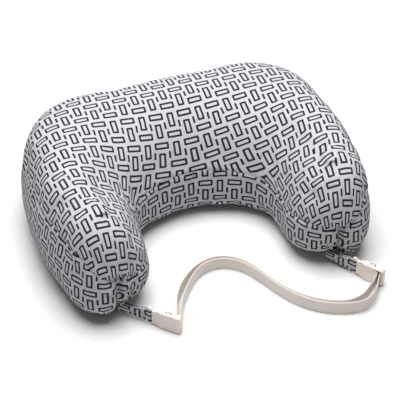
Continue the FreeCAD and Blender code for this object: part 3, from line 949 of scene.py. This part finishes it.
# the same for the arms' ends
END_PULL, END_PULL_REACH = 0.010, 0.032
BAY_PULL_MORE, BAY_PULL_REACH = 0.7, 0.018  # added on the bay's side
FAN_HEIGHT, FAN_START, FAN_REACH = 0.0030, 0.012, 0.058
CREASE_DEPTH, CREASE_REACH = 0.0100, 0.0060
HOLLOW_DEPTH, HOLLOW_REACH = 0.0045, 0.018
GATHER_HEIGHT, GATHER_START, GATHER_REACH = 0.0024, 0.004, 0.030
FAN_FOLDS, FAN_UNEVEN = 7, 0.8
BELOW_SEAM, END_RANGE = 0.004, 0.11
BAY_SIDE_FADE = 0.03


def add_folds(co, normal, seam, along):
    """Moves the cover's points in and out: a groove at the top seam, and puckers beside it."""
    groove = -GROOVE_DEPTH * bell(seam, GROOVE_REACH)
    lip = LIP_HEIGHT * bell(np.abs(seam) - LIP_AT, LIP_REACH)
    beside = np.exp(-np.abs(seam) / PUCKER_REACH) * (1 - bell(seam, PUCKER_START))
    pucker = PUCKER_HEIGHT * beside * ripple(along, 3)
    swell = SWELL_HEIGHT * ripple(along * 0.33, 7) * bell(seam, SWELL_REACH)
    move = groove + lip + pucker + swell
    return co + normal * (move * (1 - near_zip(co, 0.012)))[:, None]


def gather_ends(co, normal, seam, end):
    """Draws the arm ends in towards their tabs, with folds that fan out from there."""
    for side, sign in (("left", -1), ("right", 1)):
        root = tab_root(side)
        away = co - root
        far = np.linalg.norm(away, axis=1)
        angle = np.arctan2(away[:, 2], away @ buckle_frame(side)[2])
        bay_side = smooth_step(0.5 - sign * (co[:, 0] - root[0]) / BAY_SIDE_FADE)
        pull = bell(far, END_PULL_REACH + BAY_PULL_REACH * bay_side) * (1 + BAY_PULL_MORE * bay_side)
        fan = bell(far, FAN_REACH) * (1 - bell(far, FAN_START))
        folds = FAN_HEIGHT * fan * np.sin(angle * FAN_FOLDS + 1.1 + np.sin(angle * 3) * FAN_UNEVEN)
        # the upright end seam is a deep crease, with short gathers across it
        below = (seam < BELOW_SEAM) & (far < END_RANGE)
        crease = -CREASE_DEPTH * bell(end, CREASE_REACH) - HOLLOW_DEPTH * bell(end, HOLLOW_REACH)
        level = ripple(co[:, 2] * 1.3 + np.sign(co[:, 0]) * end * 0.5, 5)
        gathers = GATHER_HEIGHT * bell(end, GATHER_REACH) * (1 - bell(end, GATHER_START)) * level
        co = co + normal * (folds - END_PULL * pull + below * (crease + gathers))[:, None]
    return co


def buckle_frame(side):
    """The plug's outer end at mid width, the way the buckle's length runs, and the way across it."""
    along = unit(np.array(joints[f"{side}_buckle_release"]["axis"], float))
    across = np.array([-along[1], along[0], 0.0])
    co = coordinates(nodes[f"{side}_buckle_plug"].data)
    reach, width = co @ along, co @ across
    start = along * reach.min() + across * (width.min() + width.max()) / 2
    start[2] = (co[:, 2].min() + co[:, 2].max()) / 2
    return start, along, across


def tab_end(side):
    """The CAD tab's far end, measured along the buckle from the plug's outer end."""
    start, along, _ = buckle_frame(side)
    return ((coordinates(nodes[f"{side}_tab"].data) - start) @ along).min()


def tab_root(side):
    """Where the tab's middle goes into the arm's end seam."""
    start, along, _ = buckle_frame(side)
    return start + along * (tab_end(side) + 0.004)


def build_cover():
    """The closed cover, its points with the top's heights evened out, and the points' tags."""
    grid = PillowGrid()
    cover = CoverMesh()
    outer_table = add_wall(cover, grid, 0)
    tables = [outer_table, add_wall(cover, grid, 1, outer_table)]
    for side, wall in enumerate(grid.walls):
        add_wall_faces(cover, wall, side, tables[side])
    add_rungs(cover, grid, tables, top=True)
    add_rungs(cover, grid, tables, top=False)
    points, tags = np.array(cover.points), np.array(cover.tags)
    free = np.zeros(len(points))
    for wall, table in zip(grid.walls, tables):
        for r in range(wall["seam"] + LEVEL_START + 1, len(table)):
            free[table[r]] = smooth_step((r - wall["seam"] - LEVEL_START) / LEVEL_FADE)
    free[(tags[:, 0] == FAR_FROM_SEAM) & (points[:, 2] > FLOOR_CLEARANCE)] = 1.0
    heights = levelled(points[:, 2], pairs_in(cover.faces), 0.5 * free, TOP_LEVEL_ROUNDS)
    points[:, 2] = np.maximum(heights, FLOOR_CLEARANCE)
    return cover, points, tags


def flat_cloth(cover, points):
    """Flat coordinates of every face's corners: the top panel laid out, the others as they were cut."""
    laid = np.zeros((len(points), 2))
    top = []
    cut = list(zip(cover.faces, cover.flats, cover.panels))
    for face, flat, panel in cut:
        if panel == TOP_PANEL:
            laid[face] = flat
            top.append(face)
    laid = flattened(points, top, laid)
    loops = [
        laid[corner] if panel == TOP_PANEL else at
        for face, flat, panel in cut
        for corner, at in zip(face, flat)
    ]
    return np.array(loops, np.float32)


SEAM_LINE_REACH, SEAM_HOLD = 0.0035, 0.6
END_SEAM_HOLD_REACH, END_SEAM_HOLD = 0.014, 0.9
FLOOR_HOLD_Z = 0.004


def held_points(points, tags):
    """How firmly the simulation holds each point, and 1 on the top seam's own line."""
    seam, _, end = tags.T
    seam_line = (np.abs(seam) < SEAM_LINE_REACH) * 1.0
    at_end_seam = END_SEAM_HOLD * bell(end, END_SEAM_HOLD_REACH) * (seam > 0)
    on_floor = (points[:, 2] < FLOOR_HOLD_Z) * 1.0
    places = (near_zip(points, 0.02), near_rung_ends(points, 0.030))
    return np.maximum.reduce([on_floor, seam_line * SEAM_HOLD, at_end_seam, *places]), seam_line


def make_cover():
    cover, points, tags = build_cover()
    piece = new_mesh("printed_cover", points, cover.faces)
    layer = piece.data.uv_layers.new(name="flat_cloth")
    layer.data.foreach_set("uv", flat_cloth(cover, points).ravel())
    for name, values in zip(TAGS, tags.T):
        layer = piece.data.attributes.new(name, "FLOAT", "POINT")
        layer.data.foreach_set("value", values.astype(np.float32))
    held, seam_line = held_points(points, tags)
    inflate(piece, held, seam_line)
    subdivided(piece)
    mesh = piece.data
    seam, along, end = (read_tag(mesh, name) for name in TAGS)
    co = coordinates(mesh)
    weight = 0.8 * near_rung_ends(co, 0.022)
    edges = read_all(mesh.edges, "vertices", 2, np.int32)
    co[:, 2] = levelled(co[:, 2], edges, weight, RUNG_LEVEL_ROUNDS)
    set_coordinates(mesh, co)
    normal = read_all(mesh.vertex_normals, "vector", 3).astype(float)
    co = add_folds(co, normal, seam, along)
    co = gather_ends(co, normal, seam, end)
    in_slot = (np.abs(co[:, 0]) < SLOT_HALF_LENGTH) & (np.abs(co[:, 2] - ZIP_Z) < SLOT_HALF_HEIGHT)
    in_slot &= co[:, 1] > 0.08
    co[in_slot, 1] -= SLOT_DEPTH
    co[:, 2] = np.maximum(co[:, 2], FLOOR_CLEARANCE)
    set_coordinates(mesh, co)
    piece.data.materials.append(PRINT)
    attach(piece, "pillow")
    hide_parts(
        "cover_top_panel",
        "cover_outer_gusset",
        "cover_inner_gusset",
        "cover_bottom_panel",
        "inner_lining",
        "fibre_filling",
    )


# -------- belt

BELT_ROUTE = [
    (-0.1092, -0.3590, 0.0161),
    (-0.1010, -0.3410, 0.0161),
    (-0.0915, -0.3150, 0.0150),
    (-0.0760, -0.2900, 0.0138),
    (-0.0540, -0.2640, 0.0132),
    (-0.0260, -0.2445, 0.0130),
    (0.0090, -0.2430, 0.0130),
    (0.0380, -0.2640, 0.0130),
    (0.0560, -0.2990, 0.0130),
    (0.0710, -0.3360, 0.0130),
    (0.0900, -0.3690, 0.0130),
    (0.1190, -0.3975, 0.0130),
    (0.1550, -0.4160, 0.0132),
    (0.1900, -0.4180, 0.0140),
    (0.2130, -0.4010, 0.0152),
    (0.2340, -0.3745, 0.0161),
]
WEBBING_WIDTH = 0.025
WEBBING_THICKNESS = 0.0018
BELT_STEPS = 240
STRAND_SPREAD = 0.0027  # of each strand from the middle, at the sockets
# more spread, and the shares of the belt's length between which it comes and goes
STRAND_BOWS = ((0.0026, 0.0, 0.3), (0.0040, 0.8, 1.0), (-0.0012, 0.3, 0.8))
STRAND_LIFT, STRAND_LEAN = 0.00035, 0.0006
STRIP_ROWS = 9
EDGE_SHARE, EDGE_THINNING = 0.9, 0.45  # of the half width, and of the half thickness


def across_line(line):
    """The level direction square to the line, at each of its points."""
    along = unit(np.gradient(line, axis=0) * np.array([1, 1, 0]))
    return np.column_stack([turned_left(along), np.zeros(len(along))])


def strip_mesh(line, width, thickness, lean):
    """A flat strip standing on its edge along the line, with rounded edges and its own flat map."""
    ring = []
    for z in np.linspace(-1, 1, STRIP_ROWS):
        ring.append((1.0 if abs(z) < EDGE_SHARE else EDGE_THINNING, z))
    ring += [(-a, z) for a, z in reversed(ring)]
    out = across_line(line)
    at = arc_lengths(line)
    points, flat, faces = [], [], []
    size = len(ring)
    for i, p in enumerate(line):
        for a, z in ring:
            aside = out[i] * (a * thickness / 2 + lean[i] * z)
            points.append(p + aside + np.array([0, 0, z * width / 2]))
            flat.append((at[i], z * width / 2))
    for i in range(0, len(points) - size, size):
        for k in range(size):
            n = (k + 1) % size
            faces.append((i + k, i + n, i + size + n, i + size + k))
    faces.append(tuple(range(size))[::-1])
    faces.append(tuple(range(len(points) - size, len(points))))
    return points, faces, [flat[corner] for face in faces for corner in face]


def join_strips(name, strips, flat_layer):
    """One piece from several strips."""
    points, faces, flats = [], [], []
    for p, f, u in strips:
        base = len(points)
        points += p
        faces += [tuple(base + i for i in face) for face in f]
        flats += u
    piece = new_mesh(name, points, faces)
    layer = piece.data.uv_layers.new(name=flat_layer)
    layer.data.foreach_set("uv", np.array(flats, np.float32).ravel())
    return piece


def make_belt():
    """The doubled belt, made as two halves that meet at the middle, one on each buckle's side."""
    line = spline_points(BELT_ROUTE)
    length = arc_lengths(line)[-1]
    at = np.linspace(0, length, BELT_STEPS)
    line = resampled(line, at)
    share = at / length
    spread = STRAND_SPREAD
    for size, first, last in STRAND_BOWS:
        spread = spread + size * np.sin(math.pi * np.clip((share - first) / (last - first), 0, 1)) ** 2
    out = across_line(line)
    lean = STRAND_LEAN * np.sin(2 * math.pi * share * 1.5 + 0.6)
    middle = len(line) // 2
    for side, part in (("left", slice(0, middle + 1)), ("right", slice(middle, None))):
        strips = []
        for sign in (1, -1):
            strand = line[part] + out[part] * (sign * spread[part])[:, None]
            strand[:, 2] += sign * STRAND_LIFT * np.sin(math.pi * share[part])
            strips.append(strip_mesh(strand, WEBBING_WIDTH, WEBBING_THICKNESS, lean[part]))
        piece = join_strips(f"{side}_belt_webbing", strips, "flat_webbing")
        piece.data.materials.append(BELT)
        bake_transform(piece)
        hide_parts("strap_back_layer" if side == "left" else "strap_front_layer")


# -------- tabs

TAB_WIDTH = 0.025
TAB_CLOTH = 0.0011
TAB_TUCK = 0.010  # length hidden in the arm
TAB_HALF_GAP = 0.0016
TAB_WAVE = 0.0012
TAB_PLIES = ((1, 3.1, 0.4), (-1, 2.6, 0.9))  # side, and the turns and shift of the wave
TAB_CREASE, TAB_CREASE_FADE = 0.0006, 0.012
TAB_TAPER, TAB_TAPER_START, TAB_TAPER_LONG = 0.28, 0.004, 0.03
CROSSBAR_X = 0.0024
TAB_RING = 0.0026  # round the crossbar


def make_tab(side):
    """Doubled cloth tab: out of the end seam, round the plug's crossbar and back."""
    start, along, across = buckle_frame(side)
    back = TAB_TUCK - tab_end(side)

    def ply(sign, turns, shift):
        x = np.linspace(-back, CROSSBAR_X - 0.005, 14)
        share = (x + back) / (back + CROSSBAR_X)
        y = sign * (TAB_HALF_GAP + TAB_WAVE * (1 - share) * np.sin(turns * share + shift))
        return np.column_stack([x, y])

    turn = np.radians(np.linspace(130, -130, 13))
    ring = np.column_stack([CROSSBAR_X + TAB_RING * np.cos(turn), TAB_RING * np.sin(turn)])
    first, second = (ply(*values) for values in TAB_PLIES)
    outline = np.vstack([first, ring, second[::-1]])
    line = start + outline @ np.array([along, across])
    dense = resampled(line, np.linspace(0, arc_lengths(line)[-1], 90))
    strip = strip_mesh(dense, TAB_WIDTH, TAB_CLOTH, np.zeros(len(dense)))
    piece = join_strips(f"{side}_tab_cloth", [strip], "flat_cloth")
    points = coordinates(piece.data)
    local = (points - start) @ along
    taper = 1 - TAB_TAPER * smooth_step((-local - TAB_TAPER_START) / TAB_TAPER_LONG)
    crease = TAB_CREASE * np.sin(points[:, 2] * 520 + local * 180)
    crease = crease * smooth_step(-local / TAB_CREASE_FADE)
    points[:, 2] = start[2] + (points[:, 2] - start[2]) * taper
    points += across * crease[:, None]
    set_coordinates(piece.data, points)
    piece.data.materials.append(PRINT)
    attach(piece, "pillow")
    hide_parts(f"{side}_tab")


# -------- CAD pieces


def finish_cad_nodes():
    """Gives every CAD node that stays visible its material."""
    finishes = {
        "buckle": PLASTIC,
        "prong": PLASTIC,
        "strap_fold": webbing("webbing_fold"),
        "zip_tape": zip_cloth(),
        "zip_coil": zip_coil_nylon(),
        "zip_slider": METAL,
        "zip_pull": METAL,
        "zip_end": METAL,
    }
    for name, node in nodes.items():
        for key, material in finishes.items():
            if key in name:
                node.data.materials.clear()
                node.data.materials.append(material)


make_camera()
PRINT = printed_cotton()
BELT = webbing("belt_webbing", "flat_webbing")
PLASTIC = buckle_plastic()
METAL = zip_metal()
make_studio()
make_belt()
make_cover()
for side in ("left", "right"):
    make_tab(side)
finish_cad_nodes()
